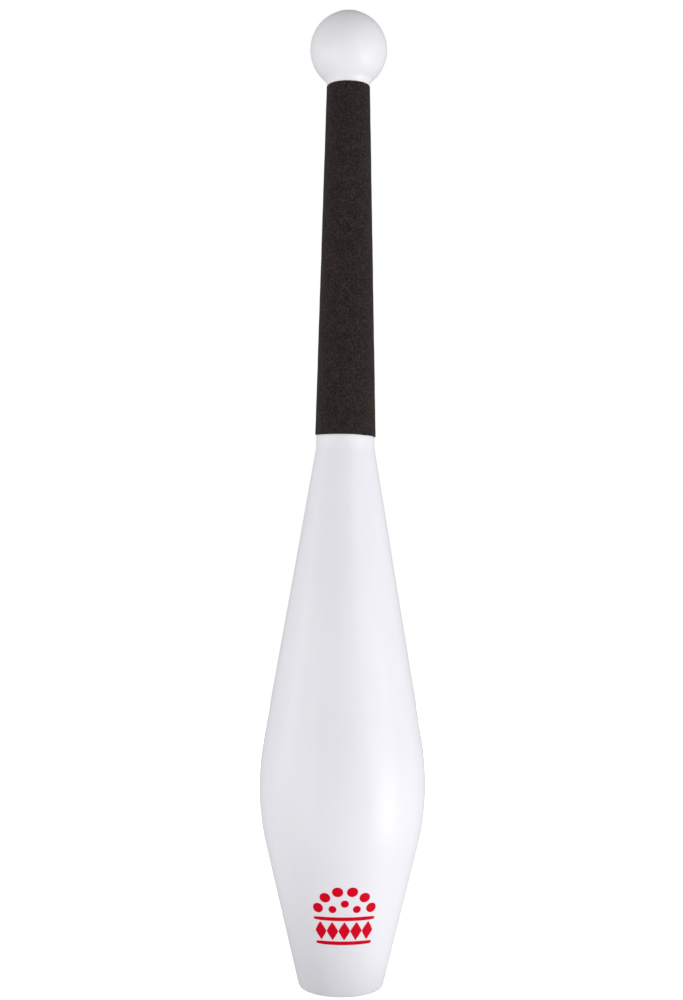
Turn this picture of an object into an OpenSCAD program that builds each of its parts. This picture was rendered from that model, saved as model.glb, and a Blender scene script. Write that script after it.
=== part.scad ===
// Composite juggling club, in millimetres.
// +Z runs along the club's axis from the base to the knob, and the origin is the middle of the base.

/* [Club] */
// Overall length, from the base to the top of the knob
club_length = 480; // [479:0.5:483]
// Height of the neck edge, where the lower end of the grip stops
grip_start = 270; // [266:0.5:290]
// Height of the upper end of the grip, where the knob's collar starts
grip_end = 443; // [442:0.5:445]

/* [Body] */
// Largest radius of the body
belly_r = 40.7; // [38:0.1:41]
// Height of the largest radius
belly_z = 98; // [90:0.5:100]
// Half angle of the cone between base and belly
lower_angle = 13.6; // [12:0.1:14]
// Half angle of the long cone between belly and neck
upper_angle = 9.7; // [9.6:0.05:10.5]
// Radius of the curve just below the belly
lower_curve = 121; // [90:1:140]
// Radius of the curve just above the belly
upper_curve = 134; // [100:1:150]
// Radius of the rounded edge of the base
base_edge = 2.5; // [1.5:0.1:2.8]
// Wall thickness of the blow moulding
wall = 1.6; // [1.3:0.1:1.6]

/* [Neck and handle tube] */
// Outer radius of the neck, below the grip
neck_r = 14.3; // [14.2:0.05:14.5]
// Radius of the hollow curve between body and neck
neck_curve = 18; // [10:1:25]
// Outer radius of the handle tube where it stands on the neck
tube_bottom_r = 13.3; // [13.1:0.05:13.5]
// Outer radius of the handle tube at the knob
tube_top_r = 8.8; // [8.8:0.05:9.1]
// Length of the handle tube's foot inside the neck
tube_foot = 20; // [10:1:30]

/* [Grip] */
// Outer radius of the foam grip at the neck
grip_bottom_r = 14.9; // [14.6:0.1:16]
// Outer radius of the foam grip at the knob
grip_top_r = 10.7; // [10.4:0.1:12]
// Rounding of the grip's two outer edges
grip_edge = 0.8; // [0.4:0.1:1]

/* [Knob] */
// Radius of the ball
knob_r = 19; // [18.5:0.1:19.5]
// Narrowest radius of the collar under the ball
collar_r = 10.2; // [10:0.1:10.6]
// Radius of the hollow curve between collar and ball
collar_curve = 7; // [5:0.5:8]

/* [Core] */
// Radius of the wooden dowel
dowel_r = 6; // [5.5:0.1:6]
// Radius of both wood screws
screw_r = 2; // [1.6:0.1:2.1]
// Length of the base screw under its head
base_screw_length = 35; // [25:1:45]
// Length of the knob screw under its head
knob_screw_length = 40; // [34:1:50]

/* [Hidden] */
$fn = 96;

// Clearances, and the steps of the curves in degrees
play = 0.05;            // radial clearance of a push fit
glue_gap = 0.1;         // radial gap of a glued joint
arc_step = 1.5;         // between the points of a long, shallow curve
ball_step = 5;          // between the points of the knob
edge_step = 15;         // between the points of a small rounding
overlap = 1;            // how far joined or cut-out shapes reach into each other

// Mouth of the body, and the plug in it
rim_r = 16;             // inner radius of the rim that the club stands on
rim_depth = 2.2;        // depth of the recess inside the rim
mouth_r = 13.5;         // radius of the mouth
lip_t = 1.6;            // thickness of the lip round the mouth
plug_inset = 0.3;       // how far the plug and its cap lie inside the rim
plug_chamfer = 0.5;     // chamfer on the plug's outer edge
plug_floor_z = 2.6;     // top of the plug's flange, inside its ring
ring_top_z = 8;         // top of the plug's ring
ring_t = 1.6;           // thickness of the plug's ring
bead_h = 0.5;           // height of the snap bead on the ring
bead_z = 4.5;           // height of the snap bead's crest
bead_top_z = 6.5;       // end of the snap bead's lead-in
ring_draft = 0.4;       // how far the ring narrows over the bead
pocket_r = 7.5;         // radius of the pocket for screw head, washer and cap
pocket_top_z = 6.5;     // top of that pocket
pocket_wall = 1.8;      // wall of the pocket
plug_web = 3;           // plastic between the pocket and the dowel's socket
plug_socket = 18;       // depth of the dowel's socket in the plug
socket_wall = 2.2;      // wall of that socket
socket_lead = 0.8;      // chamfer at the socket's mouth
plug_ribs = 6;          // ribs round the socket
rib_t = 1.4;            // thickness of a rib
rib_top_z = 22;         // top of the ribs
rib_step = 1;           // step between the ring's top and the ribs

// Small parts
cap_skin = 1.4;         // thickness of the base cap's face
cap_rim = 1.3;          // thickness of both caps' rims
cap_clear = 0.2;        // gap between a cap's rim and the washer
washer_r = 6.5;         // outer radius of both washers
washer_t = 1;           // thickness of both washers
hole_play = 0.2;        // radial clearance of the screws in washers and plastic
pilot_play = 0.03;      // radial clearance of the screws in the dowel's pilot holes
pilot_extra = 2;        // how far a pilot hole runs past the screw's point
head_r = 4;             // radius of both screw heads
head_h = 2.4;           // height of both screw heads
head_round = 1.8;       // rounding of a pan head
point_h = 4;            // length of a screw's point
cross_w = 1;            // width of a slot of the cross recess
cross_l = 4.4;          // length of a slot of the cross recess
cross_depth = 1.5;      // depth of the cross recess
dowel_chamfer = 0.8;    // chamfer on both ends of the dowel
dowel_end_gap = 0.5;    // gap between the dowel and the end of the knob's socket
foot_lead = 0.6;        // chamfer on the handle tube's foot
bush_height = 12;       // height of the neck bush
bush_rise = 3;          // height of the bush over the start of the tube's tapering bore
bush_wall = 1.4;        // walls of the neck bush
bush_web = 2;           // web between the bush's walls
spigot_length = 18;     // length of the knob's spigot in the handle tube
spigot_lead = 0.5;      // chamfer on the spigot's end
knob_socket = 6.5;      // depth of the dowel's socket over the collar's foot
knob_web = 16;          // plastic between the dowel's socket and the screw's seat
knob_bore_r = 7;        // radius of the bore for screw head, washer and knob cap
knob_cap_rim_z = 471;   // lower end of the knob cap's rim
knob_cap_skin = 3;      // thickness of the knob cap's face
knob_cap_chamfer = 0.4; // chamfer on the knob cap's visible edge

// Heights and radii that follow from the sizes above
knob_z = club_length - knob_r;
lip_top_z = rim_depth + lip_t;
base_seat_z = pocket_top_z - washer_t;
dowel_z = pocket_top_z + plug_web;
knob_socket_z = grip_end + knob_socket;
dowel_top_z = knob_socket_z - dowel_end_gap;
knob_seat_z = knob_socket_z + knob_web;
knob_head_z = knob_seat_z + washer_t;
hole_r = screw_r + hole_play;
pilot_r = screw_r + pilot_play;
socket_r = dowel_r + play;
spigot_r = tube_top_r - wall - play;
lower_join_r = belly_r - lower_curve * (1 - cos(lower_angle));
lower_join_z = belly_z - lower_curve * sin(lower_angle);
upper_join_r = belly_r - upper_curve * (1 - cos(upper_angle));
upper_join_z = belly_z + upper_curve * sin(upper_angle);
neck_z = upper_join_z + (upper_join_r - neck_r) / tan(upper_angle);
foot_r = neck_r - wall - play;
bush_z = tube_z(foot_r) + bush_rise;

// Radius of the cone between base and belly, and of the handle tube, at height z
function cone_r(z) = lower_join_r - (lower_join_z - z) * tan(lower_angle);
function tube_r(z) =
    tube_bottom_r - (tube_bottom_r - tube_top_r) * (z - grip_start) / (grip_end - grip_start);

// Height at which the handle tube has the outer radius r
function tube_z(r) =
    grip_start + (grip_end - grip_start) * (tube_bottom_r - r) / (tube_bottom_r - tube_top_r);

// Points of an arc about [x, z], from angle a0 to a1, at most step degrees apart
function arc(x, z, r, a0, a1, step) =
    let (n = max(2, ceil(abs(a1 - a0) / step)))
    [for (i = [0 : n]) let (a = a0 + (a1 - a0) * i / n) [x + r * cos(a), z + r * sin(a)]];

function reversed(points) = [for (i = [len(points) - 1 : -1 : 0]) points[i]];

// Curved part of the body's outline from the lower cone to the neck, moved inwards by inset.
// Every arc keeps its centre, so the wall has the same thickness all the way.
function skin(inset) = concat(
    arc(belly_r - lower_curve, belly_z, lower_curve - inset, -lower_angle, 0, arc_step),
    arc(belly_r - upper_curve, belly_z, upper_curve - inset, arc_step, upper_angle, arc_step),
    arc(neck_r + neck_curve, neck_z + neck_curve * tan(upper_angle / 2), neck_curve + inset,
        180 + upper_angle, 180, arc_step)
);

// Rounded edge of the base, from the flat rim to the lower cone
function base_rounding() =
    let (
        run = base_edge * (1 - sin(lower_angle)) / cos(lower_angle),
        x = cone_r(0) + run * sin(lower_angle) - base_edge * cos(lower_angle)
    )
    arc(x, base_edge, base_edge, -90, -lower_angle, edge_step);

module turned(points) {
    rotate_extrude() polygon(points);
}

// Blow-moulded body and neck, open at the mouth and at the neck
module body_shell() {
    outside = concat(base_rounding(), skin(0), [[neck_r, grip_start]]);
    inside = concat(
        [
            [rim_r, 0],
            [rim_r, rim_depth],
            [mouth_r, rim_depth],
            [mouth_r, lip_top_z],
            [cone_r(lip_top_z) - wall / cos(lower_angle), lip_top_z]
        ],
        skin(wall),
        [[neck_r - wall, grip_start]]
    );
    color("whitesmoke") turned(concat(outside, reversed(inside)));
}

// Tapering handle tube that stands on the neck, with a foot that is glued inside it
module handle_tube() {
    foot_z = grip_start - tube_foot;
    bore_r = foot_r - wall;
    color("whitesmoke") turned([
        [bore_r, foot_z],
        [foot_r - foot_lead, foot_z],
        [foot_r, foot_z + foot_lead],
        [foot_r, grip_start],
        [tube_bottom_r, grip_start],
        [tube_top_r, grip_end],
        [tube_top_r - wall, grip_end],
        [bore_r, tube_z(bore_r + wall)]
    ]);
}

// Foam sleeve that is glued round the handle tube
module grip_sleeve() {
    lean = atan((grip_bottom_r - grip_top_r) / (grip_end - grip_start - 2 * grip_edge));
    color([0.14, 0.13, 0.13]) turned(concat(
        [[tube_bottom_r + glue_gap, grip_start]],
        arc(grip_bottom_r - grip_edge, grip_start + grip_edge, grip_edge, -90, lean, edge_step),
        arc(grip_top_r - grip_edge, grip_end - grip_edge, grip_edge, lean, 90, edge_step),
        [[tube_top_r + glue_gap, grip_end]]
    ));
}

// Ball with a collar, a spigot in the handle tube, a socket for the dowel and a bore for the screw
module knob() {
    curve_x = collar_r + collar_curve;
    reach = knob_r + collar_curve;
    curve_z = knob_z - sqrt(reach * reach - curve_x * curve_x);
    foot = 180 - asin(max(0, grip_end - curve_z) / collar_curve);
    join = atan2(knob_z - curve_z, -curve_x);
    rim = acos(knob_bore_r / knob_r);
    color("whitesmoke") turned(concat(
        [
            [socket_r, grip_end - spigot_length],
            [spigot_r - spigot_lead, grip_end - spigot_length],
            [spigot_r, grip_end - spigot_length + spigot_lead],
            [spigot_r, grip_end],
            [curve_x + collar_curve * cos(foot), grip_end]
        ],
        arc(curve_x, curve_z, collar_curve, foot, join, ball_step),
        arc(0, knob_z, knob_r, join - 180 + ball_step, rim, ball_step),
        [
            [knob_bore_r, knob_seat_z],
            [hole_r, knob_seat_z],
            [hole_r, knob_socket_z],
            [socket_r, knob_socket_z]
        ]
    ));
}

// Wooden core with chamfered ends and a pilot hole for the screw in each end
module dowel() {
    foot_pilot = base_seat_z + base_screw_length + pilot_extra;
    head_pilot = knob_head_z - knob_screw_length - pilot_extra;
    color("burlywood") turned([
        [pilot_r, dowel_z],
        [dowel_r - dowel_chamfer, dowel_z],
        [dowel_r, dowel_z + dowel_chamfer],
        [dowel_r, dowel_top_z - dowel_chamfer],
        [dowel_r - dowel_chamfer, dowel_top_z],
        [pilot_r, dowel_top_z],
        [pilot_r, head_pilot],
        [0, head_pilot],
        [0, foot_pilot],
        [pilot_r, foot_pilot]
    ]);
}

// Plug that snaps into the body's mouth and holds the foot of the dowel
module base_plug() {
    flange_r = rim_r - 2 * play;
    ring_r = mouth_r - play;
    wall_r = pocket_r + pocket_wall;
    cup_r = socket_r + socket_wall;
    cup_top_z = dowel_z + plug_socket;
    color("gainsboro") union() {
        turned([
            [hole_r, pocket_top_z],
            [pocket_r, pocket_top_z],
            [pocket_r, plug_inset],
            [flange_r - plug_chamfer, plug_inset],
            [flange_r, plug_inset + plug_chamfer],
            [flange_r, rim_depth],
            [ring_r, rim_depth],
            [ring_r, lip_top_z + play],
            [ring_r + bead_h, bead_z],
            [ring_r - ring_draft, bead_top_z],
            [ring_r - ring_draft, ring_top_z],
            [ring_r - ring_t, ring_top_z],
            [ring_r - ring_t, plug_floor_z],
            [wall_r, plug_floor_z],
            [wall_r, dowel_z],
            [cup_r, dowel_z + wall_r - cup_r],
            [cup_r, cup_top_z],
            [socket_r + socket_lead, cup_top_z],
            [socket_r, cup_top_z - socket_lead],
            [socket_r, dowel_z],
            [hole_r, dowel_z]
        ]);
        for (i = [0 : plug_ribs - 1])
            rotate([0, 0, i * 360 / plug_ribs])
                translate([0, rib_t / 2, 0])
                    rotate([90, 0, 0])
                        linear_extrude(rib_t)
                            polygon([
                                [wall_r - overlap, plug_floor_z - overlap],
                                [ring_r - overlap, plug_floor_z - overlap],
                                [ring_r - overlap, ring_top_z - rib_step],
                                [cup_r, rib_top_z],
                                [cup_r - overlap, rib_top_z],
                                [cup_r - overlap, dowel_z + overlap],
                                [wall_r - overlap, dowel_z - overlap]
                            ]);
    }
}

// Spool-shaped ring that wedges where the handle tube starts to narrow, and centres the dowel
module neck_bush() {
    inner_r = socket_r + bush_wall;
    web_z = bush_z + (bush_height - bush_web) / 2;
    top_z = bush_z + bush_height;
    function outer_r(z) = tube_r(z) - wall - glue_gap;
    color("gainsboro") turned([
        [socket_r, bush_z],
        [inner_r, bush_z],
        [inner_r, web_z],
        [outer_r(web_z) - bush_wall, web_z],
        [outer_r(bush_z) - bush_wall, bush_z],
        [outer_r(bush_z), bush_z],
        [outer_r(top_z), top_z],
        [outer_r(top_z) - bush_wall, top_z],
        [outer_r(web_z + bush_web) - bush_wall, web_z + bush_web],
        [inner_r, web_z + bush_web],
        [inner_r, top_z],
        [socket_r, top_z]
    ]);
}

// Pan-head wood screw, with its seat at the origin, its head under it and its shank along +Z
module wood_screw(length) {
    difference() {
        turned(concat(
            [[0, -head_h]],
            arc(head_r - head_round, head_round - head_h, head_round, -90, 0, edge_step),
            [[head_r, 0], [screw_r, 0], [screw_r, length - point_h], [0, length]]
        ));
        for (a = [0, 90])
            rotate([0, 0, a])
                translate([-cross_l / 2, -cross_w / 2, -head_h - overlap])
                    cube([cross_l, cross_w, cross_depth + overlap]);
    }
}

module washer() {
    difference() {
        cylinder(r = washer_r, h = washer_t);
        translate([0, 0, -overlap]) cylinder(r = hole_r, h = washer_t + 2 * overlap);
    }
}

module base_screw() {
    color("silver") translate([0, 0, base_seat_z]) wood_screw(base_screw_length);
}

module base_washer() {
    color("silver") translate([0, 0, base_seat_z]) washer();
}

// Push-in cap over the base screw, shaped like a shallow cup
module base_cap() {
    cap_r = pocket_r - play;
    rim_z = base_seat_z - cap_clear;
    color("gainsboro") turned([
        [0, plug_inset],
        [cap_r - plug_chamfer, plug_inset],
        [cap_r, plug_inset + plug_chamfer],
        [cap_r, rim_z],
        [cap_r - cap_rim, rim_z],
        [cap_r - cap_rim, plug_inset + cap_skin],
        [0, plug_inset + cap_skin]
    ]);
}

module knob_screw() {
    color("silver") translate([0, 0, knob_head_z]) mirror([0, 0, 1]) wood_screw(knob_screw_length);
}

module knob_washer() {
    color("silver") translate([0, 0, knob_seat_z]) washer();
}

// Domed cap over the knob screw, flush with the ball
module knob_cap() {
    cap_r = knob_bore_r - play;
    edge = acos((cap_r - knob_cap_chamfer) / knob_r);
    edge_z = knob_z + knob_r * sin(edge);
    color("whitesmoke") turned(concat(
        [
            [0, club_length - knob_cap_skin],
            [cap_r - cap_rim, club_length - knob_cap_skin],
            [cap_r - cap_rim, knob_cap_rim_z],
            [cap_r, knob_cap_rim_z],
            [cap_r, edge_z - knob_cap_chamfer]
        ],
        arc(0, knob_z, knob_r, edge, 90, ball_step)
    ));
}

body_shell();
handle_tube();
grip_sleeve();
knob();
dowel();
base_plug();
neck_bush();
base_screw();
base_washer();
base_cap();
knob_screw();
knob_washer();
knob_cap();
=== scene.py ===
import math

import bmesh
import bpy
import numpy as np
from mathutils import Matrix, Vector


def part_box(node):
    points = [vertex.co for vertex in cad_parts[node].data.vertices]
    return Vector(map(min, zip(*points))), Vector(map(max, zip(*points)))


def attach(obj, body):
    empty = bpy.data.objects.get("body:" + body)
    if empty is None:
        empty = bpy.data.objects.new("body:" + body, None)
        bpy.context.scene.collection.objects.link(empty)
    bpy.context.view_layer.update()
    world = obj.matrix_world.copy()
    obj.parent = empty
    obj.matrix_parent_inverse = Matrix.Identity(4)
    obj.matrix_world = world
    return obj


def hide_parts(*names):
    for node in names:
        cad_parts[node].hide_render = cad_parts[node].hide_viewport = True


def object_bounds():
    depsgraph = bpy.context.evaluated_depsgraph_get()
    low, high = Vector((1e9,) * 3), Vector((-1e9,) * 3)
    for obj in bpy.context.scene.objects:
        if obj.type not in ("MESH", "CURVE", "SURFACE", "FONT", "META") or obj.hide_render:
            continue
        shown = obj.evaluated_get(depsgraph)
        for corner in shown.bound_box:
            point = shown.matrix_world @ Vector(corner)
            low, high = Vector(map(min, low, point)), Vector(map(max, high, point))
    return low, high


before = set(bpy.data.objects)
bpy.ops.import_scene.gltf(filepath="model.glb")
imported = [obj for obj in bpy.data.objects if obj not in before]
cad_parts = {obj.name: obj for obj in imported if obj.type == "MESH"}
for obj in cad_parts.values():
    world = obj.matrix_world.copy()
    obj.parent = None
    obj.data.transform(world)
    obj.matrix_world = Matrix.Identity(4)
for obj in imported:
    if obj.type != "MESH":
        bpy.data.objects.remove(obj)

mm = 0.001
poleReach = 1e-7     # m
cadLow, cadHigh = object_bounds()
scene = bpy.context.scene
scene.view_settings.view_transform = "Standard"


def boxMm(node):
    # lowest and highest corner of a CAD node, in millimetres
    low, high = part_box(node)
    return np.array(low) / mm, np.array(high) / mm


print("frame:", len(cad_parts), "nodes")


camera = {
    "distance": 739.5,     # from the club's axis, mm
    "height": 226.4,       # mm over the floor
    "side": -1.65,         # mm to the right of the axis, so negative is to its left
    "pitch": 0.907,        # degrees upwards
    "roll": 0.493,         # degrees
    "lens": 54.0,          # mm on a 36 mm long side
}


def makeCamera():
    data = bpy.data.cameras.new("camera")
    data.lens = camera["lens"]
    data.sensor_width = 36.0
    data.clip_start, data.clip_end = 0.01, 100
    eye = bpy.data.objects.new("camera", data)
    scene.collection.objects.link(eye)
    tilt = Matrix.Rotation(math.radians(90 + camera["pitch"]), 4, "X")
    roll = Matrix.Rotation(math.radians(camera["roll"]), 4, "Z")
    place = Vector((camera["side"], -camera["distance"], camera["height"])) * mm
    eye.matrix_world = Matrix.Translation(place) @ tilt @ roll
    scene.camera = eye


makeCamera()
print("camera set")


def arc(x, z, radius, start, end, count):
    # count + 1 points of a circle about (x, z), from start to end degrees
    t = np.radians(np.linspace(start, end, count + 1))
    return np.stack([x + radius * np.cos(t), z + radius * np.sin(t)], 1)


def rounded(corners, closed=True, count=6):
    # outline of corners (x, z, rounding radius): each corner becomes an arc that touches both its sides
    points = []
    total = len(corners)
    for i, (x, z, radius) in enumerate(corners):
        here = np.array([x, z], float)
        if radius <= 0 or (not closed and i in (0, total - 1)):
            points.append(here[None])
            continue
        before = np.array(corners[i - 1][:2], float) - here
        after = np.array(corners[(i + 1) % total][:2], float) - here
        before /= np.linalg.norm(before)
        after /= np.linalg.norm(after)
        half = math.acos(np.clip(before @ after, -1, 1)) / 2
        middle = before + after
        centre = here + middle / np.linalg.norm(middle) * radius / math.sin(half)
        a = here + before * radius / math.tan(half) - centre
        b = here + after * radius / math.tan(half) - centre
        turn = math.pi - 2 * half
        t = np.linspace(0, 1, count + 1)[:, None]
        points.append(centre + (a * np.sin((1 - t) * turn) + b * np.sin(t * turn)) / math.sin(turn))
    return np.concatenate(points)


def spaced(outline, step):
    # the outline again, with points added so that no side is longer than step
    lengths = np.linalg.norm(np.diff(outline, axis=0), axis=1)
    counts = np.maximum(1, np.ceil(lengths / step)).astype(int)
    side = np.repeat(np.arange(len(counts)), counts)
    first = np.repeat(np.cumsum(counts) - counts, counts)
    share = (np.arange(counts.sum()) - first) / counts[side]
    between = outline[side] + (outline[side + 1] - outline[side]) * share[:, None]
    return np.concatenate([between, outline[-1:]])


def looped(outline, step):
    # the same for a closed outline, whose last point isn't the first one again
    return spaced(np.concatenate([outline, outline[:1]]), step)[:-1]


def turns(count, fineAt=(), fineReach=0, fineCount=0):
    # angles once round, with extra ones close to each angle of fineAt
    parts = [np.linspace(0, 2 * math.pi, count, endpoint=False)]
    for angle in fineAt:
        parts.append(angle + np.linspace(-fineReach, fineReach, fineCount))
    return np.unique(np.round(np.concatenate(parts) % (2 * math.pi), 6))


def revolve(outline, angles, swell=None, lift=None):
    # x = r cos a, y = r sin a, with r and z from the outline; swell(r, z, a) adds to r, lift to z
    r = np.broadcast_to(outline[:, :1], (len(outline), len(angles))).copy()
    z = np.broadcast_to(outline[:, 1:], (len(outline), len(angles))).copy()
    a = np.broadcast_to(angles[None], r.shape)
    more = swell(r, z, a) if swell else 0
    z = z + (lift(r, z, a) if lift else 0)
    r = r + more
    return np.stack([r * np.cos(a), r * np.sin(a), z], 2)


def quads(rows, columns, wrapRows, wrapColumns):
    # corner numbers of the faces of a rows x columns grid of points
    i = np.arange(rows if wrapRows else rows - 1)[:, None]
    j = np.arange(columns if wrapColumns else columns - 1)[None]
    below, right = (i + 1) % rows, (j + 1) % columns
    faces = [i * columns + j, i * columns + right, below * columns + right, below * columns + j]
    return np.stack(np.broadcast_arrays(*faces), -1).reshape(-1, 4)


def waves(terms, a, z):
    # sum of share * sin(times round * a + rate * z + phase)
    return sum(share * np.sin(times * a + rate * z + phase) for share, times, rate, phase in terms)


def near(value, centre, width):
    # 1 at centre, falling to 0 over about width, as a bell
    return np.exp(-(((value - centre) / width) ** 2))


def closePoles(mesh):
    # points that fall together, such as a pole's, become one
    work = bmesh.new()
    work.from_mesh(mesh)
    bmesh.ops.remove_doubles(work, verts=work.verts, dist=poleReach)
    work.to_mesh(mesh)
    work.free()
    mesh.update()


def meshPiece(name, grids, material, replaced=(), sharp=40):
    # grids: (points of rows x columns x 3 in mm, wrapRows, wrapColumns); sharp: edges over so many degrees
    points = np.concatenate([g.reshape(-1, 3) for g, _, _ in grids]) * mm
    faces, start = [], 0
    for g, wrapRows, wrapColumns in grids:
        faces.append(quads(g.shape[0], g.shape[1], wrapRows, wrapColumns) + start)
        start += g.shape[0] * g.shape[1]
    faces = np.concatenate(faces)
    mesh = bpy.data.meshes.new(name)
    mesh.vertices.add(len(points))
    mesh.vertices.foreach_set("co", points.astype(np.float32).ravel())
    mesh.loops.add(faces.size)
    mesh.loops.foreach_set("vertex_index", faces.astype(np.int32).ravel())
    mesh.polygons.add(len(faces))
    mesh.polygons.foreach_set("loop_start", np.arange(0, faces.size, 4, dtype=np.int32))
    mesh.update(calc_edges=True)
    mesh.validate()
    closePoles(mesh)
    mesh.polygons.foreach_set("use_smooth", np.ones(len(mesh.polygons), bool))
    mesh.set_sharp_from_angle(angle=math.radians(sharp))
    mesh.materials.append(material)
    piece = bpy.data.objects.new(name, mesh)
    scene.collection.objects.link(piece)
    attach(piece, "root")
    if replaced:
        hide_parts(*replaced)
    return piece


class Wire:
    # a socket of a material's nodes; arithmetic on it adds Math nodes

    def __init__(self, tree, socket):
        self.tree = tree
        self.socket = socket

    def node(self, kind, settings=None, values=None, output=0):
        # settings are set before values, which are numbers or other wires by socket name or number
        made = self.tree.nodes.new(kind)
        for key, value in (settings or {}).items():
            setattr(made, key, value)
        for key, value in (values or {}).items():
            if isinstance(value, Wire):
                self.tree.links.new(value.socket, made.inputs[key])
            else:
                made.inputs[key].default_value = value
        return Wire(self.tree, made.outputs[output] if made.outputs else None)

    def math(self, operation, *inputs):
        return self.node("ShaderNodeMath", {"operation": operation}, dict(enumerate(inputs)))

    def __add__(self, other):
        return self.math("ADD", self, other)

    def __radd__(self, other):
        return self.math("ADD", other, self)

    def __sub__(self, other):
        return self.math("SUBTRACT", self, other)

    def __rsub__(self, other):
        return self.math("SUBTRACT", other, self)

    def __mul__(self, other):
        return self.math("MULTIPLY", self, other)

    def __rmul__(self, other):
        return self.math("MULTIPLY", other, self)

    def above(self, least):
        # never less than least
        return self.math("MAXIMUM", self, least)

    def sine(self):
        return self.math("SINE", self)

    def step(self, low, high):
        # 0 below low, 1 above high, smooth between
        return self.node(
            "ShaderNodeMapRange",
            {"interpolation_type": "SMOOTHSTEP"},
            {"Value": self, "From Min": low, "From Max": high},
        )

    def scaled(self, x, y, z):
        # the vector stretched: a larger number makes a finer pattern on that axis
        return self.node("ShaderNodeMapping", None, {"Vector": self, "Scale": (x, y, z)})

    def noise(self, size, detail=2.0, rough=0.5, distortion=0.0):
        # fractal noise with features about size metres across
        values = {"Vector": self, "Scale": 1 / size, "Detail": detail, "Roughness": rough,
                  "Distortion": distortion}
        return self.node("ShaderNodeTexNoise", None, values)

    def cells(self, size):
        # distance to the nearest of scattered points about size metres apart
        return self.node("ShaderNodeTexVoronoi", {"feature": "F1"}, {"Vector": self, "Scale": 1 / size})

    def blend(self, first, second):
        # the colour first where this is 0, second where it is 1
        values = {"Factor": self, 6: first, 7: second}
        return self.node("ShaderNodeMix", {"data_type": "RGBA"}, values, 2)


def startMaterial(name):
    # a new material, its Principled shader, and the object's own coordinates
    material = bpy.data.materials.new(name)
    material.use_nodes = True
    tree = material.node_tree
    shader = next(n for n in tree.nodes if n.type == "BSDF_PRINCIPLED")
    place = Wire(tree, None).node("ShaderNodeTexCoord", None, None, "Object")
    return material, shader, place


def finishMaterial(shader, place, colour, roughness, height=None, bumpDepth=0.0, **plain):
    # plain: values of other sockets, with _ for a space in their names
    inputs = {"Base Color": colour, "Roughness": roughness}
    if height is not None:
        values = {"Height": height, "Distance": bumpDepth, "Strength": 1.0}
        inputs["Normal"] = place.node("ShaderNodeBump", None, values)
    for key, value in plain.items():
        inputs[key.replace("_", " ")] = value
    for key, value in inputs.items():
        if isinstance(value, Wire):
            place.tree.links.new(value.socket, shader.inputs[key])
        else:
            shader.inputs[key].default_value = value


milky = {
    "base": (0.800, 0.790, 0.835, 1),
    "deep": (0.775, 0.765, 0.815, 1),   # where the wall is a little thinner
    "scuff": (0.71, 0.70, 0.72, 1),
    "roughness": 0.36,
    "cloud": 0.060,                     # size of the clouding, m
    "streak": 0.004,                    # width of the flow streaks, m
    "peel": 0.0016,                     # size of the moulded skin's grain, m
    "peelDepth": 0.000012,
    "scratch": 0.0011,                  # width of the scuffs, m
    "patch": 0.022,                     # size of the areas that have scuffs, m
    "specular": 0.42,
}


def milkyPlastic(name, grain=1.0, base=milky["base"], deep=milky["deep"]):
    # blow-moulded polyethylene: clouding, faint streaks along the draw, fine skin grain, rare scuffs
    material, shader, at = startMaterial(name)
    cloud = at.noise(milky["cloud"], 3.0, 0.55)
    streak = at.scaled(1, 1, 0.05).noise(milky["streak"], 2.0)
    scuffField = at.scaled(1, 1, 0.16).noise(milky["scratch"], 4.0, 0.7, 0.6)
    patch = at.noise(milky["patch"], 2.0).step(0.56, 0.72)
    scuff = scuffField.step(0.63, 0.72) * patch
    tone = (cloud * 0.7 + streak * 0.3).step(0.3, 0.7)
    colour = (scuff * 0.35).blend(tone.blend(base, deep), milky["scuff"])
    peel = at.noise(milky["peel"] * grain, 2.0, 0.4)
    rough = milky["roughness"] + (cloud - 0.5) * 0.06 + (peel - 0.5) * 0.05 + scuff * 0.16
    height = peel + streak * 0.35 - scuff * 0.5
    finishMaterial(shader, at, colour, rough, height, milky["peelDepth"],
                   Specular_IOR_Level=milky["specular"], IOR=1.5)
    return material


foam = {
    "base": (0.0168, 0.0112, 0.0104, 1),
    "pale": (0.048, 0.0335, 0.0315, 1),   # cut cell walls
    "dark": (0.0036, 0.0025, 0.0024, 1),  # open cells, painted darker as shade inside the sunk cells; also the dark of the mottle
    "cell": 0.00062,                      # m
    "mottle": 0.0045,                     # size of the slow mottle, m
    "roughness": 0.88,
    "depth": 0.00009,
    "specular": 0.16,
    "sheen": 0.02,
}


def foamRubber(name):
    # skived closed-cell foam: open cells darkened as painted shade, with pale walls, over a slow mottle
    material, shader, at = startMaterial(name)
    wobble = at.noise(foam["cell"] * 1.5, 3.0, 0.65)
    cell = at.cells(foam["cell"])
    fine = at.noise(foam["cell"] * 0.45, 2.0, 0.6)
    mottle = at.noise(foam["mottle"], 3.0, 0.6)
    pit = 1 - cell.step(0.06, 0.42)
    wall = cell.step(0.48, 0.86)
    speck = (wall * 0.55 + fine * 0.45).step(0.34, 0.95)
    colour = speck.blend(foam["base"], foam["pale"])
    # painted shade: the sunk open cells are darkened as if shade lay in them
    colour = (pit * 0.75).blend(colour, foam["dark"])
    colour = (wobble.step(0.50, 0.66) * 0.50).blend(colour, foam["pale"])
    colour = ((1 - wobble).step(0.50, 0.66) * 0.70).blend(colour, foam["dark"])
    colour = (mottle.step(0.48, 0.74) * 0.20).blend(colour, foam["pale"])
    colour = ((1 - mottle).step(0.48, 0.74) * 0.30).blend(colour, foam["dark"])
    rough = foam["roughness"] + (wobble - 0.5) * 0.12
    height = wall * 0.5 - pit + fine * 0.35 + wobble * 0.8
    finishMaterial(shader, at, colour, rough, height, foam["depth"],
                   Specular_IOR_Level=foam["specular"], Sheen_Weight=foam["sheen"], Sheen_Roughness=0.6)
    return material


ink = {
    "base": (0.640, 0.0, 0.014, 1),
    "thin": (0.690, 0.006, 0.030, 1),
    "roughness": 0.48,
    "blot": 0.0028,           # size of the thinner places, m
    "grain": 0.00035,
    "depth": 0.000012,
    "specular": 0.05,
}


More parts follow.
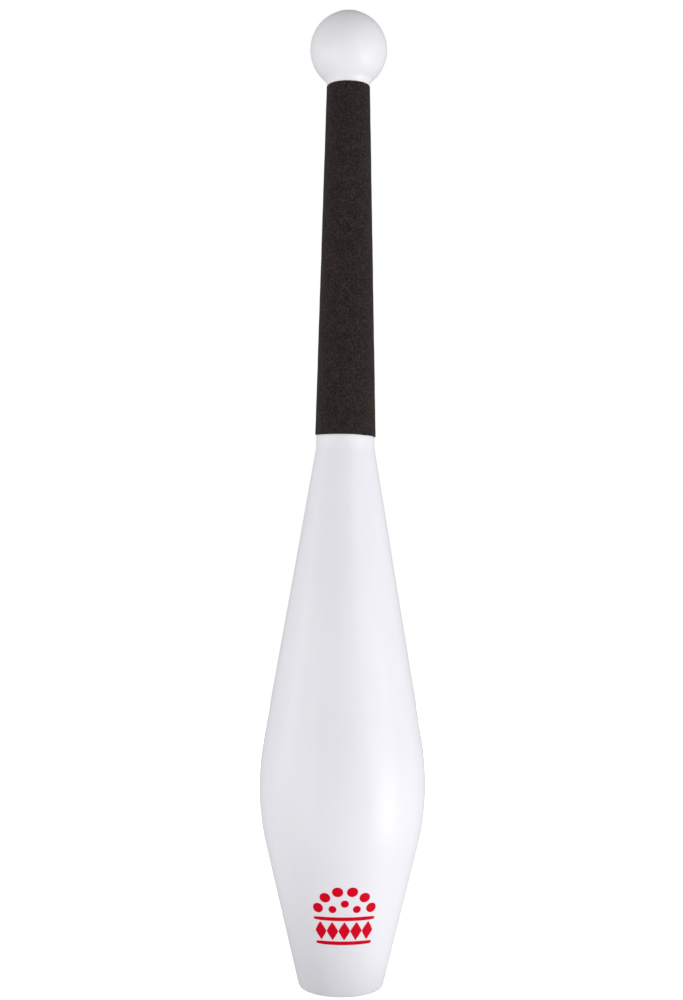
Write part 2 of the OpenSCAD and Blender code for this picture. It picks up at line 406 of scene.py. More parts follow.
def printedInk(name):
    # one pass of red pad-printing ink, a little thinner in places
    material, shader, at = startMaterial(name)
    thin = at.noise(ink["blot"], 4.0, 0.65)
    grain = at.noise(ink["grain"], 2.0)
    colour = (thin.step(0.45, 0.75) * 0.5).blend(ink["base"], ink["thin"])
    rough = ink["roughness"] + (grain - 0.5) * 0.12 + thin * 0.05
    finishMaterial(shader, at, colour, rough, grain + thin * 0.4, ink["depth"],
                   Specular_IOR_Level=ink["specular"])
    return material


timber = {
    "early": (0.66, 0.47, 0.27, 1),
    "late": (0.42, 0.26, 0.13, 1),
    "ray": (0.74, 0.57, 0.37, 1),
    "ring": 0.0021,          # width of a growth ring, m
    "bands": 9.0,
    "along": 0.035,          # the grain is drawn out by one over this
    "pore": 0.00032,
    "rayLength": 0.0009,
    "roughness": 0.62,
    "depth": 0.00006,
}


def hardwood(name):
    # turned hardwood: growth rings cut along the grain, fine pores, short pale rays
    material, shader, at = startMaterial(name)
    along = at.scaled(1, 1, timber["along"])
    drift = along.noise(timber["ring"] * 2.4, 3.0, 0.5, 0.4)
    ring = (drift * timber["bands"] * math.pi).sine() * 0.5 + 0.5
    pore = at.scaled(1, 1, 0.045).noise(timber["pore"], 3.0, 0.6).step(0.56, 0.68)
    ray = at.scaled(1, 1, 0.12).noise(timber["rayLength"], 2.0).step(0.66, 0.74)
    colour = ring.step(0.35, 0.95).blend(timber["early"], timber["late"])
    colour = (pore * 0.5).blend(colour, timber["late"])
    colour = (ray * 0.4).blend(colour, timber["ray"])
    rough = timber["roughness"] + pore * 0.14 - ring * 0.06
    finishMaterial(shader, at, colour, rough, ring * 0.3 - pore, timber["depth"])
    return material


plating = {
    "base": (0.62, 0.61, 0.585, 1),
    "warm": (0.66, 0.61, 0.50, 1),
    "dull": (0.40, 0.40, 0.40, 1),
    "mark": 0.00022,         # width of the tool marks, m
    "spot": 0.0016,
    "roughness": 0.24,
    "depth": 0.00002,
}


def platedSteel(name):
    # bright zinc plating with tool marks round the axis and dull spots
    material, shader, at = startMaterial(name)
    mark = at.scaled(0.08, 0.08, 1).noise(plating["mark"], 2.0)
    spot = at.noise(plating["spot"], 4.0, 0.65)
    colour = spot.step(0.4, 0.7).blend(plating["base"], plating["warm"])
    colour = (spot.step(0.62, 0.74) * 0.6).blend(colour, plating["dull"])
    rough = plating["roughness"] + spot * 0.16 + mark * 0.08
    finishMaterial(shader, at, colour, rough, mark + spot * 0.6, plating["depth"], Metallic=1.0)
    return material


moulded = {
    "drift": 0.014,          # size of the colour drift, m
    "grain": 0.0009,         # size of the skin's grain, m
    "pit": 0.00072,
    "depth": 0.00002,
    "specular": 0.42,
}


def mouldedPlastic(name, base, shade, roughness):
    # injection-moulded part with a spark-eroded skin and slow colour drift
    material, shader, at = startMaterial(name)
    drift = at.noise(moulded["drift"], 3.0, 0.5)
    grain = at.noise(moulded["grain"], 3.0, 0.6)
    pits = at.cells(moulded["pit"]).step(0.15, 0.5)
    colour = drift.step(0.35, 0.7).blend(base, shade)
    rough = roughness + (grain - 0.5) * 0.14 + drift * 0.04
    finishMaterial(shader, at, colour, rough, grain * 0.7 + pits * 0.4, moulded["depth"],
                   Specular_IOR_Level=moulded["specular"])
    return material


bodyPlastic = milkyPlastic("body_plastic")
knobPlastic = milkyPlastic("knob_plastic", 0.7, (0.790, 0.785, 0.815, 1), (0.770, 0.765, 0.795, 1))
gripFoam = foamRubber("grip_foam_rubber")
emblemInk = printedInk("emblem_ink")
dowelWood = hardwood("dowel_wood")
zincSteel = platedSteel("zinc_steel")
tubePlastic = mouldedPlastic("tube_moulded", (0.78, 0.78, 0.80, 1), (0.74, 0.74, 0.76, 1), 0.42)
plugPlastic = mouldedPlastic("plug_moulded", (0.74, 0.74, 0.76, 1), (0.69, 0.69, 0.71, 1), 0.46)
capPlastic = mouldedPlastic("cap_moulded", (0.77, 0.77, 0.79, 1), (0.73, 0.73, 0.75, 1), 0.40)
bushPlastic = mouldedPlastic("bush_moulded", (0.72, 0.71, 0.68, 1), (0.66, 0.65, 0.61, 1), 0.55)
print("materials made")


_, bodyHigh = boxMm("body_shell")
body = {
    "bellyHeight": 98.0,
    "lowerAngle": 13.6,      # half angle of the cone under the belly, degrees
    "upperAngle": 9.7,       # half angle of the cone over the belly
    "lowerCurve": 121.0,
    "upperCurve": 134.0,
    "edge": 2.5,             # rounding of the standing edge
    "neck": 14.3,
    "neckCurve": 18.0,
    "neckEdge": 0.35,
    "wall": 1.6,
    "rim": 16.0,             # radius and depth of the recess for the plug
    "rimDepth": 2.2,
    "mouth": 13.5,
    "lip": 1.6,
    "rimRound": 0.4,         # rounding of the recess, of its corners and inside the lip
    "cornerRound": 0.3,
    "lipRound": 0.8,
    "seam": 0.07,            # height and half width of the mould's parting line
    "seamWidth": 0.30,
    "seamSpan": 0.03,        # radians to either side that have finer columns
    "seamColumns": 13,
    "sag": [(0.0175, 2, 0.021, 0), (0.0105, 3, -0.033, 1.1)],   # slow unevenness of the wall
    "fade": 12.0,            # both die away over this height at the ends
    "columns": 224,
    "step": 1.9,
}
bellyRadius = bodyHigh[0]
neckTop = bodyHigh[2]
lowerSlope = math.tan(math.radians(body["lowerAngle"]))
upperSlope = math.tan(math.radians(body["upperAngle"]))
lowerJoinRadius = bellyRadius - body["lowerCurve"] * (1 - math.cos(math.radians(body["lowerAngle"])))
lowerJoinHeight = body["bellyHeight"] - body["lowerCurve"] * math.sin(math.radians(body["lowerAngle"]))
upperJoinRadius = bellyRadius - body["upperCurve"] * (1 - math.cos(math.radians(body["upperAngle"])))
upperJoinHeight = body["bellyHeight"] + body["upperCurve"] * math.sin(math.radians(body["upperAngle"]))
neckHeight = upperJoinHeight + (upperJoinRadius - body["neck"]) / upperSlope


def lowerCone(z):
    # radius of the cone under the belly at height z
    return lowerJoinRadius - (lowerJoinHeight - z) * lowerSlope


def bodyCurves(inset):
    # from the lower cone to the neck, moved inwards by inset; every arc keeps its centre
    lower, upper = body["lowerAngle"], body["upperAngle"]
    bellyZ = body["bellyHeight"]
    hollowX = body["neck"] + body["neckCurve"]
    hollowZ = neckHeight + body["neckCurve"] * math.tan(math.radians(upper / 2))
    return np.concatenate([
        arc(bellyRadius - body["lowerCurve"], bellyZ, body["lowerCurve"] - inset, -lower, 0, 20),
        arc(bellyRadius - body["upperCurve"], bellyZ, body["upperCurve"] - inset, 0, upper, 16)[1:],
        arc(hollowX, hollowZ, body["neckCurve"] + inset, 180 + upper, 180, 8),
    ])


def bodyOutline():
    # closed: up the outside, over the neck, down the inside, and round the lip and the recess
    lower = math.radians(body["lowerAngle"])
    run = body["edge"] * (1 - math.sin(lower)) / math.cos(lower)
    edgeX = lowerCone(0) + run * math.sin(lower) - body["edge"] * math.cos(lower)
    lipTop = body["rimDepth"] + body["lip"]
    edge = body["neckEdge"]
    outside = np.concatenate([
        arc(edgeX, body["edge"], body["edge"], -90, -body["lowerAngle"], 12),
        bodyCurves(0),
        arc(body["neck"] - edge, neckTop - edge, edge, 0, 90, 4),
    ])
    corner = body["cornerRound"]
    inside = np.concatenate([
        rounded([
            (body["rim"], -1, 0),
            (body["rim"], body["rimDepth"], corner),
            (body["mouth"], body["rimDepth"], corner),
            (body["mouth"], lipTop, corner),
            (lowerCone(lipTop) - body["wall"] / math.cos(lower), lipTop, body["lipRound"]),
            (lowerJoinRadius - body["wall"], lowerJoinHeight, 0),
        ], closed=False)[1:-1],
        bodyCurves(body["wall"]),
        [[body["neck"] - body["wall"], neckTop]],
    ])
    rim = body["rimRound"]
    rimArc = arc(body["rim"] + rim, rim, rim, 180, 270, 4)
    return np.concatenate([outside, inside[::-1], rimArc])


def bodySwell(r, z, a):
    # parting line on both sides, and a wall that is out of round by a few hundredths
    across = r * np.sin(a)
    line = near(across, 0, body["seamWidth"]) * body["seam"]
    fade = np.clip(z / body["fade"], 0, 1) * np.clip((neckTop - z) / body["fade"], 0, 1)
    return (line + waves(body["sag"], a, z)) * fade


def makeBody():
    angles = turns(body["columns"], (0, math.pi), body["seamSpan"], body["seamColumns"])
    outline = looped(bodyOutline(), body["step"])
    grid = revolve(outline, angles, swell=bodySwell)
    meshPiece("club_body", [(grid, True, True)], bodyPlastic, ["body_shell"])


makeBody()
print("body made")


grip = {
    "tubeBottom": 13.4,       # inner radius at both ends, just clear of the handle tube
    "tubeTop": 8.9,
    "top": 10.7,
    "topEdge": 0.45,          # rounding of the two cut edges
    "lowEdge": 0.3,
    "skew": (-0.14, -0.52, -0.14),   # the lower cut: constant, once and twice round, mm
    "skewReach": 14.0,        # height over which the skew dies away
    "ragged": [(0.03, 9, 0, 0.6)],   # small waves of the lower cut, and those of the upper one
    "topCut": [(0.09, 0, 0, math.pi / 2), (0.05, 4, 0, 1), (0.04, 7, 0, 0)],
    "topReach": 6.0,
    "lumps": [(0.05 / 3, 5, 0.11, 0), (0.05 / 3, 3, -0.23, 2), (0.05 / 3, 8, 0.47, 0)],
    "seamDepth": 0.55,        # butt joint of the wrapped foam, along the back
    "seamWidth": 0.28,
    "seamRoll": 0.12,         # how far its two edges are rolled in
    "rollWidth": 3.2,         # in widths of the joint
    "seamAt": math.radians(96),
    "seamLean": 0.00032,      # radians per mm of height
    "seamMiddle": math.radians(96) + 0.03,
    "seamSpan": 0.12,         # radians to either side of seamMiddle that have finer columns
    "seamColumns": 40,
    "depth": 1.2,             # the unevenness grows to its full size over this, from the inner face
    "columns": 240,
    "step": 1.2,
}
gripLow, gripHigh = boxMm("grip_sleeve")


def gripOutline():
    # a thin tapering wall, closed
    low, high = gripLow[2], gripHigh[2]
    return rounded([
        (grip["tubeBottom"], low, 0),
        (gripHigh[0], low, grip["lowEdge"]),
        (grip["top"], high, grip["topEdge"]),
        (grip["tubeTop"], high, 0),
    ])


def gripOutward(r, z):
    # 0 on the inner face, 1 on the outer one
    share = (z - gripLow[2]) / (gripHigh[2] - gripLow[2])
    inner = grip["tubeBottom"] + (grip["tubeTop"] - grip["tubeBottom"]) * share
    return np.clip((r - inner) / grip["depth"], 0, 1)


def gripSwell(r, z, a):
    # slow lumps, and the butt joint with its two edges rolled in
    away = a - grip["seamAt"] - grip["seamLean"] * (z - gripLow[2])
    arcAway = ((away + math.pi) % (2 * math.pi) - math.pi) * r
    groove = near(arcAway, 0, grip["seamWidth"]) * grip["seamDepth"]
    roll = near(arcAway, 0, grip["seamWidth"] * grip["rollWidth"]) * grip["seamRoll"]
    return (waves(grip["lumps"], a, z) - groove - roll) * gripOutward(r, z)


def gripLift(r, z, a):
    # the cut at the neck is a little skew and wavy, only where the foam stands over the neck
    nearEnd = np.clip(1 - (z - gripLow[2]) / grip["skewReach"], 0, 1) ** 2
    nearTop = np.clip(1 - (gripHigh[2] - z) / grip["topReach"], 0, 1)
    level, once, twice = grip["skew"]
    skew = level + once * np.cos(a) + twice * np.cos(2 * a) + waves(grip["ragged"], a, z)
    return (skew * nearEnd - waves(grip["topCut"], a, z) * nearTop) * gripOutward(r, z)


def makeGrip():
    angles = turns(grip["columns"], (grip["seamMiddle"],), grip["seamSpan"], grip["seamColumns"])
    grid = revolve(looped(gripOutline(), grip["step"]), angles, gripSwell, gripLift)
    piece = meshPiece("grip", [(grid, True, True)], gripFoam, ["grip_sleeve"])


makeGrip()
print("grip made")


knobLow, knobHigh = boxMm("knob")
clubTop = cadHigh[2] / mm
knob = {
    "collar": 10.2,
    "collarCurve": 7.0,
    "bore": 7.0,
    "boreRound": 0.35,
    "seat": 465.5,           # height of the screw's seat
    "screwHole": 2.2,
    "socket": 6.05,
    "socketTop": 449.5,
    "spigot": 7.15,
    "seam": 0.035,           # parting line round the ball
    "seamWidth": 0.35,
    "seamDrop": 0.6,         # below the equator
    "capGap": 0.10,
    "capRound": 0.45,
    "capRim": 1.3,
    "capRimHeight": 471.0,
    "capSkin": 3.0,
    "capShoulder": (1.2, 0.42),   # from the cap's edge inwards and up, where its rounding ends
    "capDomeStart": 2.5,          # degrees of the ball's circle past that edge
    "columns": 224,
    "step": 1.0,
    "capColumns": 128,
    "capStep": 0.8,
}
ballRadius = knobHigh[0]
ballHeight = clubTop - ballRadius


def knobOutline():
    # spigot, collar with its hollow curve, ball up to the bore, and down the bore to the socket
    curveX = knob["collar"] + knob["collarCurve"]
    reach = ballRadius + knob["collarCurve"]
    curveZ = ballHeight - math.sqrt(reach ** 2 - curveX ** 2)
    foot = gripHigh[2]
    start = 180 - math.degrees(math.asin((foot - curveZ) / knob["collarCurve"]))
    join = math.degrees(math.atan2(ballHeight - curveZ, -curveX))
    boreRadius = knob["bore"]
    rim = math.degrees(math.acos((boreRadius + knob["boreRound"] * 0.8) / ballRadius))
    rimZ = ballHeight + math.sqrt(ballRadius ** 2 - boreRadius ** 2) - knob["boreRound"] * 1.2
    return np.concatenate([
        rounded([
            (knob["socket"], knobLow[2], 0.2),
            (knob["spigot"], knobLow[2], 0.5),
            (knob["spigot"], foot, 0),
        ], closed=False),
        arc(curveX, curveZ, knob["collarCurve"], start, join, 14),
        arc(0, ballHeight, ballRadius, join - 180, rim, 90)[1:],
        rounded([
            (boreRadius + 1, ballHeight + math.sqrt(ballRadius ** 2 - (boreRadius + 1) ** 2), 0),
            (boreRadius, rimZ + knob["boreRound"], knob["boreRound"]),
            (boreRadius, knob["seat"], 0.3),
            (knob["screwHole"], knob["seat"], 0.2),
            (knob["screwHole"], knob["socketTop"], 0.2),
            (knob["socket"], knob["socketTop"], 0.3),
            (knob["socket"], knobLow[2] + 1, 0),
        ], closed=False)[1:],
    ])


def knobSwell(r, z, a):
    # parting line just under the ball's equator
    outer = (r > knob["bore"] + 1) & (z > gripHigh[2])
    return np.where(outer, near(z, ballHeight - knob["seamDrop"], knob["seamWidth"]) * knob["seam"], 0)


def capOutline():
    # hollow plug with a domed top, from the middle of its underside to the middle of its dome
    capRadius = knob["bore"] - knob["capGap"]
    edge = math.degrees(math.acos((capRadius - knob["capRound"]) / ballRadius))
    edgeZ = ballHeight + ballRadius * math.sin(math.radians(edge))
    inner = capRadius - knob["capRim"]
    inwards, up = knob["capShoulder"]
    return np.concatenate([
        [[0, clubTop - knob["capSkin"]]],
        rounded([
            (0, clubTop - knob["capSkin"], 0),
            (inner, clubTop - knob["capSkin"], 0.4),
            (inner, knob["capRimHeight"], 0.2),
            (capRadius, knob["capRimHeight"], 0.3),
            (capRadius, edgeZ - 0.05, knob["capRound"]),
            (capRadius - inwards, edgeZ + up, 0),
        ], closed=False)[1:-1],
        arc(0, ballHeight, ballRadius, edge + knob["capDomeStart"], 90, 14),
    ])


def makeKnob():
    angles = turns(knob["columns"])
    grid = revolve(looped(knobOutline(), knob["step"]), angles, swell=knobSwell)
    meshPiece("knob_ball", [(grid, True, True)], knobPlastic, ["knob"])
    cap = revolve(spaced(capOutline(), knob["capStep"]), turns(knob["capColumns"]))
    meshPiece("knob_plug", [(cap, False, True)], knobPlastic, ["knob_cap"])


makeKnob()
print("knob made")


emblem = {
    "height": 42.3,          # height of its middle on the body
    "side": 1.5,             # how far right of the front line its middle lies
    "thickness": 0.05,
    "edgeThickness": 0.04,
    "sunk": 0.10,
    "fineness": {"rings": 7, "columns": 72},
    "barFineness": {"rings": 9, "columns": 128},
    # harlequin row between two bars, mm from the middle: places; height, half width, half height
    "lozengePlaces": [-12.0, -6.0, 0, 6.0, 12.0],
    "lozenge": (-8.4, 2.95, 4.7),
    "lozengePower": 1.08,
    "barPower": 5.0,
    "bars": [(0, -14.6, 15.2, 0.95), (0, -2.2, 15.2, 0.95)],
    # juggled balls in two arcs: middle of the arcs, then radius, ball radius and angles
    "arcMiddle": -1.4,
    "arcs": [(13.4, 2.45, [20, 48, 76, 104, 132, 160]), (7.0, 1.85, [36, 90, 144])],
}


def onBody(side, up):
    # a flat mark (mm to the right, mm up) laid on the cone under the belly, at the club's front
    slant = math.cos(math.radians(body["lowerAngle"]))
    z = emblem["height"] + up * slant
    middle = lowerCone(emblem["height"])
    r = lowerCone(z)
    return r, (emblem["side"] + side) / middle, z


def inkSpot(x, y, halfWidth, halfHeight, power, rings, columns):
    # |x / halfWidth| ** power + |y / halfHeight| ** power = 1, as a thin closed disc of ink:
    # the top runs out from the middle, then the edge goes down, then the underside runs back
    share = np.concatenate([np.linspace(0, 1, rings), [1.0], np.linspace(1, 0, rings)])
    level = np.concatenate([
        np.full(rings, emblem["thickness"]), [-emblem["sunk"] * 0.5], np.full(rings, -emblem["sunk"]),
    ])
    level[rings - 1] = emblem["edgeThickness"]
    t = np.linspace(0, 2 * math.pi, columns, endpoint=False)
    shape = (np.abs(np.cos(t)) ** power + np.abs(np.sin(t)) ** power) ** (-1 / power)
    side = x + share[:, None] * (halfWidth * shape * np.cos(t))[None]
    up = y + share[:, None] * (halfHeight * shape * np.sin(t))[None]
    r, turn, z = onBody(side, up)
    r = r + level[:, None]
    # columns run clockwise seen from outside, so that the faces point outwards
    points = np.stack([r * np.sin(turn), -r * np.cos(turn), z], 2)
    return points[:, ::-1], False, True


def makeEmblem():
    fine = emblem["fineness"]
    spots = [inkSpot(x, *emblem["lozenge"], emblem["lozengePower"], **fine)
             for x in emblem["lozengePlaces"]]
    spots += [inkSpot(*bar, emblem["barPower"], **emblem["barFineness"]) for bar in emblem["bars"]]
    for reach, ball, angles in emblem["arcs"]:
        for angle in np.radians(angles):
            x, y = reach * math.cos(angle), emblem["arcMiddle"] + reach * math.sin(angle)
            spots.append(inkSpot(x, y, ball, ball, 2, **fine))
    meshPiece("emblem_print", spots, emblemInk)


makeEmblem()
print("emblem made")


capLow, capHigh = boxMm("base_cap")
baseCap = {
    "round": 0.5,
    "rim": 1.3,
    "skin": 1.4,
    "dish": 0.12,            # how far the middle of the face lies back
    "notch": 0.35,           # pry notch in the edge of the face, mm deep
    "notchHalf": 1.4,
    "notchLong": 1.1,
    "notchRise": 0.3,        # length over which its inner end rises
    "faceReach": 0.8,        # height over the face up to which the notch moves points
    "faceFade": 0.4,
    "rimRound": 0.25,
    "columns": 144,
    "step": 0.35,
}


def baseCapOutline():
    # shallow cup, open upwards
    outer, low, high = capHigh[0], capLow[2], capHigh[2]
    inner = outer - baseCap["rim"]
    return rounded([
        (0, low + baseCap["dish"], 0),
        (outer * 0.55, low + baseCap["dish"] * 0.5, 4),
        (outer, low, baseCap["round"]),
        (outer, high, baseCap["rimRound"]),
        (inner, high, baseCap["rimRound"]),
        (inner, low + baseCap["skin"], baseCap["round"]),
        (0, low + baseCap["skin"], 0),
    ], closed=False)


def baseCapLift(r, z, a):
    # z rises by the notch's depth at one place of the face's edge
    face = np.clip((capLow[2] + baseCap["faceReach"] - z) / baseCap["faceFade"], 0, 1)
    across = near(r * np.sin(a), 0, baseCap["notchHalf"])
    inwards = r * np.cos(a) - capHigh[0] + baseCap["notchLong"]
    along = np.clip(inwards / baseCap["notchRise"], 0, 1)
    return baseCap["notch"] * face * across * along


washer = {
    "hole": 2.2,
    "punched": 0.3,          # rounding of the punched edge, mm
    "edge": 0.12,
    "holeEdge": 0.15,
    "columns": 96,
    "step": 0.5,
}


def washerOutline(node):
    low, high = boxMm(node)
    hole = washer["hole"]
    return rounded([
        (hole, low[2], washer["holeEdge"]), (high[0], low[2], washer["punched"]),
        (high[0], high[2], washer["edge"]), (hole, high[2], washer["edge"]),
    ])


screw = {
    "core": 1.42,            # radius under the thread
    "thread": 1.98,          # radius over the thread
    "smooth": 0.30,          # share of the length that has no thread
    "pitch": 1.75,
    "point": 5.5,            # length over which the point narrows
    "headRadius": 4.0,
    "headHeight": 2.4,
    "headRound": 1.8,
    "neckRound": 0.25,
    "recessDepth": 1.5,
    "recessHalf": 0.5,       # half width and half length of an arm of the cross
    "recessLong": 2.2,
    "recessWall": 0.24,      # share of the arm's size over which its wall falls
    "crestHalf": 0.24,       # half width of the thread's crest, in pitches
    "smoothShare": 0.82,     # radius of the smooth part, between core 0 and thread 1
    "pointPower": 0.8,       # how blunt the point is
    "taperPower": 0.6,       # how blunt the recess is towards its bottom
    "taperReach": 3.3,       # radius at which it has no depth left
    "faceShare": 0.55,       # share of the head's height in which the recess moves points
    "faceStep": 0.09,
    "columns": 96,
    "ringsPerTurn": 14,
}


def screwShank(length):
    # from the seat to the point: r = core + crest(z / pitch - a / 2 pi) * thread height
    rings = int(length / screw["pitch"] * screw["ringsPerTurn"])
    z = np.linspace(0, length, rings)[:, None]
    a = turns(screw["columns"])[None]
    phase = (z / screw["pitch"] - a / (2 * math.pi)) % 1
    crest = np.clip(1 - np.abs(phase - 0.5) / screw["crestHalf"], 0, 1)
    start = np.clip((z - length * screw["smooth"]) / screw["pitch"], 0, 1)
    narrow = np.clip((length - z) / screw["point"], 0, 1) ** screw["pointPower"]
    rise = screw["thread"] - screw["core"]
    r = (screw["core"] + rise * (screw["smoothShare"] * (1 - start) + crest * start)) * narrow
    fillet = np.clip(1 - z / screw["neckRound"], 0, 1)
    r = r + screw["neckRound"] * fillet ** 2
    return np.stack(np.broadcast_arrays(r * np.cos(a), r * np.sin(a), z), 2)


def screwHead():
    # from the middle of the face out over the round edge and back under it to the shank;
    # the cross recess is pressed in where the distance to either arm is small
    edge, high = screw["headRound"], screw["headHeight"]
    corner = screw["headRadius"] - edge
    outline = np.concatenate([
        spaced(np.array([[0, -high], [corner, -high]]), screw["faceStep"]),
        arc(corner, edge - high, edge, -90, 0, 10)[1:],
        rounded([(screw["headRadius"], edge - high, 0), (screw["headRadius"], 0, 0.15),
                 (screw["thread"], 0, 0)], closed=False, count=3)[1:],
    ])
    grid = revolve(outline, turns(screw["columns"]))
    x, y, z = grid[..., 0], grid[..., 1], grid[..., 2]
    one = np.maximum(np.abs(x) / screw["recessLong"], np.abs(y) / screw["recessHalf"])
    other = np.maximum(np.abs(y) / screw["recessLong"], np.abs(x) / screw["recessHalf"])
    wall = screw["recessWall"]
    inside = np.clip((1 + wall / 2 - np.minimum(one, other)) / wall, 0, 1)
    taper = np.clip(1 - np.hypot(x, y) / screw["taperReach"], 0, 1) ** screw["taperPower"]
    facing = z < -high * screw["faceShare"]
    grid[..., 2] = z + np.where(facing, inside * taper * screw["recessDepth"], 0)
    return grid


def makeScrew(name, node, pointsUp, length):
    low, high = boxMm(node)
    seat = low[2] + screw["headHeight"] if pointsUp else high[2] - screw["headHeight"]
    grid = np.concatenate([screwHead(), screwShank(length)])
    if not pointsUp:
        grid = (grid * np.array([1, 1, -1]))[:, ::-1]
    grid = grid + np.array([0, 0, seat])
    meshPiece(name, [(grid, False, True)], zincSteel, [node], sharp=50)


def makeHardware():
    outline = spaced(baseCapOutline(), baseCap["step"])
    cap = revolve(outline, turns(baseCap["columns"]), lift=baseCapLift)
    meshPiece("screw_cover", [(cap, False, True)], capPlastic, ["base_cap"])
    for name, node in (("base_ring", "base_washer"), ("knob_ring", "knob_washer")):
        ring = revolve(looped(washerOutline(node), washer["step"]), turns(washer["columns"]))
        meshPiece(name, [(ring, True, True)], zincSteel, [node])
    for name, node, pointsUp in (("base_fixing", "base_screw", True),
                                 ("knob_fixing", "knob_screw", False)):
        low, high = boxMm(node)
        makeScrew(name, node, pointsUp, high[2] - low[2] - screw["headHeight"])


makeHardware()
print("screws, washers and cover made")


carried = {
    "handle_tube": tubePlastic,
    "base_plug": plugPlastic,
    "dowel": dowelWood,
    "neck_bush": bushPlastic,
}
for node, material in carried.items():
    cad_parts[node].data.materials.clear()
    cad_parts[node].data.materials.append(material)
print("inner parts finished")


studio = {
    # strength of the world as light: all round, then from the right, left, back, above and below
    "ambient": 0.262,
    "fromRight": 0.449,
    "fromLeft": 0.515,
    "fromBack": -0.26,       # darker behind, so the outline stands out from the white
    "fromAbove": 0.155,
    "fromBelow": 0.352,
    "seen": 1.0,             # the same white to look at
    "floor": (0.90, 0.90, 0.90, 1),
    "floorGlow": 0.60,
    "floorDrift": (0.99, 0.9),
    "floorSize": 60.0,       # m
    # ring of floor round the foot that gets little light and so gives little back: radii and middle, m
    "patch": 0.068,
    "patchHole": 0.021,
    "patchMiddle": (-0.029, 0.0, -0.001),
    "patchColour": (0.10, 0.10, 0.10, 1),
    "patchGlow": 0.28,
    "patchDrift": (1.1, 0.05),
    "patchSides": 48,
    "paperRough": 0.9,
    "paperSpecular": 0.1,
}
# degrees round from the front (+ is right), distance, height, width and height of the lamp (m), power (W)
lamps = {
    "key": (63, 1.00, -0.20, 0.50, 0.42, 3.2),
    "keyMiddle": (50, 1.00, 0.05, 0.45, 0.45, 0.9),
    "keyUpper": (65, 1.00, 0.22, 0.45, 0.40, 1.2),
    "front": (35, 1.00, 0.50, 0.45, 0.40, 1.35),
    "fill": (-52, 1.00, -0.05, 0.55, 0.55, 0.95),
    "fillUpper": (-50, 1.00, 0.22, 0.45, 0.45, 1.15),
    "edge": (-82, 1.00, 0.22, 0.45, 0.45, 1.45),
    "back": (180, 1.10, 0.40, 0.30, 0.30, 10.0),
}
noGlint = {"back"}       # lamps that the club doesn't mirror, or they would shine along its outline


def makeLamps():
    aim = Vector((0, 0, cadHigh[2] / 2))
    for name, (turn, distance, height, wide, high, power) in lamps.items():
        data = bpy.data.lights.new(name, "AREA")
        data.shape = "RECTANGLE"
        data.size, data.size_y = wide, high
        data.energy = power
        lamp = bpy.data.objects.new(name, data)
        lamp.visible_glossy = name not in noGlint
        scene.collection.objects.link(lamp)
        turn = math.radians(turn)
        lamp.location = (distance * math.sin(turn), -distance * math.cos(turn), height)
        lamp.rotation_euler = (aim - lamp.location).to_track_quat("-Z", "Y").to_euler()


def paper(name, colour, drift, size, glow):
    # matt paper that glows a little; over about size metres its colour drifts to drift times itself
    material, shader, at = startMaterial(name)
    other = tuple(c * drift for c in colour[:3]) + (1,)
    finishMaterial(shader, at, at.noise(size).blend(colour, other), studio["paperRough"],
                   Emission_Color=(1, 1, 1, 1), Emission_Strength=glow,
                   Specular_IOR_Level=studio["paperSpecular"])
    return material, shader, at


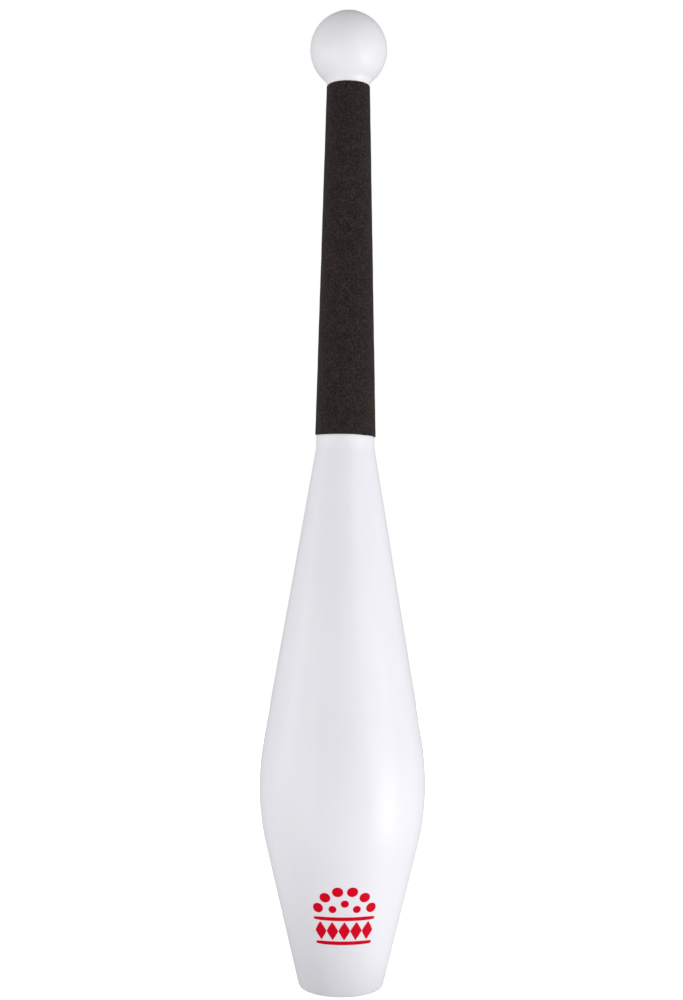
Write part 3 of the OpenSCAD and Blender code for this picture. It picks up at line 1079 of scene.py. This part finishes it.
def makeFloor():
    # pale paper that shows soft shadows, throws no light back on the club, and is clear from below
    half = studio["floorSize"] / 2
    mesh = bpy.data.meshes.new("floor")
    corners = [(-half, -half, 0), (half, -half, 0), (half, half, 0), (-half, half, 0)]
    mesh.from_pydata(corners, [], [(0, 1, 2, 3)])
    material, shader, at = paper("floor_paper", studio["floor"], *studio["floorDrift"], studio["floorGlow"])
    clear = at.node("ShaderNodeBsdfTransparent")
    under = at.node("ShaderNodeNewGeometry", None, None, "Backfacing")
    matt = Wire(at.tree, shader.outputs["BSDF"])
    mixed = at.node("ShaderNodeMixShader", None, {0: under, 1: matt, 2: clear})
    output = next(n for n in at.tree.nodes if n.type == "OUTPUT_MATERIAL")
    at.tree.links.new(mixed.socket, output.inputs["Surface"])
    mesh.materials.append(material)
    floor = bpy.data.objects.new("floor", mesh)
    floor.visible_diffuse = floor.visible_glossy = floor.visible_shadow = False
    scene.collection.objects.link(floor)


def makeFootShade():
    # the dim ring of floor round the foot, as the club sees it; the camera sees only the paper.
    # It is open under the base, which would be dark from below otherwise
    count = studio["patchSides"]
    turn = np.linspace(0, 2 * math.pi, count, endpoint=False)
    circle = np.stack([np.cos(turn), np.sin(turn), turn * 0], 1)
    middle = np.array(studio["patchMiddle"])
    outer = circle * studio["patch"] + middle
    inner = circle * studio["patchHole"] + middle * np.array([0, 0, 1])
    mesh = bpy.data.meshes.new("foot_shade")
    faces = quads(2, count, False, True)
    mesh.from_pydata(np.concatenate([inner, outer]).tolist(), [], faces.tolist())
    dim = paper("shaded_paper", studio["patchColour"], *studio["patchDrift"], studio["patchGlow"])
    mesh.materials.append(dim[0])
    patch = bpy.data.objects.new("foot_shade", mesh)
    patch.visible_camera = patch.visible_shadow = False
    scene.collection.objects.link(patch)


def makeWorld():
    # light = ambient + sum of side strength * max(0, direction towards that side); plain white to look at
    world = bpy.data.worlds.new("studio")
    world.use_nodes = True
    tree = world.node_tree
    tree.nodes.clear()
    start = Wire(tree, None)
    direction = start.node("ShaderNodeTexCoord", None, None, "Generated")
    x, y, z = (direction.node("ShaderNodeSeparateXYZ", None, {0: direction}, i) for i in range(3))
    light = studio["ambient"] + x.above(0) * studio["fromRight"] + (x * -1).above(0) * studio["fromLeft"]
    light = light + y.above(0) * studio["fromBack"]
    light = light + z.above(0) * studio["fromAbove"] + (z * -1).above(0) * studio["fromBelow"]
    seen = start.node("ShaderNodeLightPath", None, None, "Is Camera Ray")
    strength = light + seen * (studio["seen"] - light)
    shade = start.node("ShaderNodeBackground", None, {"Color": (1, 1, 1, 1), "Strength": strength})
    start.node("ShaderNodeOutputWorld", None, {"Surface": shade})
    scene.world = world


makeLamps()
makeFloor()
makeFootShade()
makeWorld()
print("studio lit")
